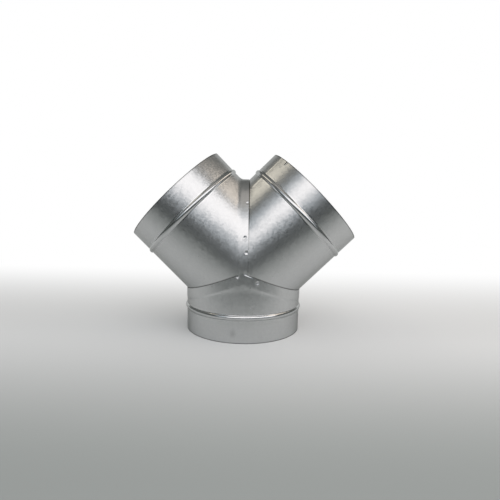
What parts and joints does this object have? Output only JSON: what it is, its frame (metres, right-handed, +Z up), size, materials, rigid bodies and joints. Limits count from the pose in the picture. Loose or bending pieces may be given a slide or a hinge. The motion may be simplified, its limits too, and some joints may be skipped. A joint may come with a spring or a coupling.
{
  "type": "duct y branch",
  "caption": "Galvanised sheet-steel duct fitting that splits a round trunk into slanted round branches of the same bore, with beaded spigots and lapped, spot-welded seams.",
  "frame": {"origin": "centre of the trunk's mouth, in the plane of its edge, on which the part stands", "axes": "+Z up along the trunk's axis, the branches lean to -X and +X, +Y away from the side that the picture shows"},
  "size_m": [0.3802, 0.2038, 0.3028],
  "materials": {
    "galvanised_sheet": "hot-dip zinc with a fine spangle, semi-gloss"
  },
  "bodies": {
    "root": {"trunk": "galvanised_sheet", "left_branch": "galvanised_sheet", "right_branch": "galvanised_sheet"}
  },
  "joints": []
}
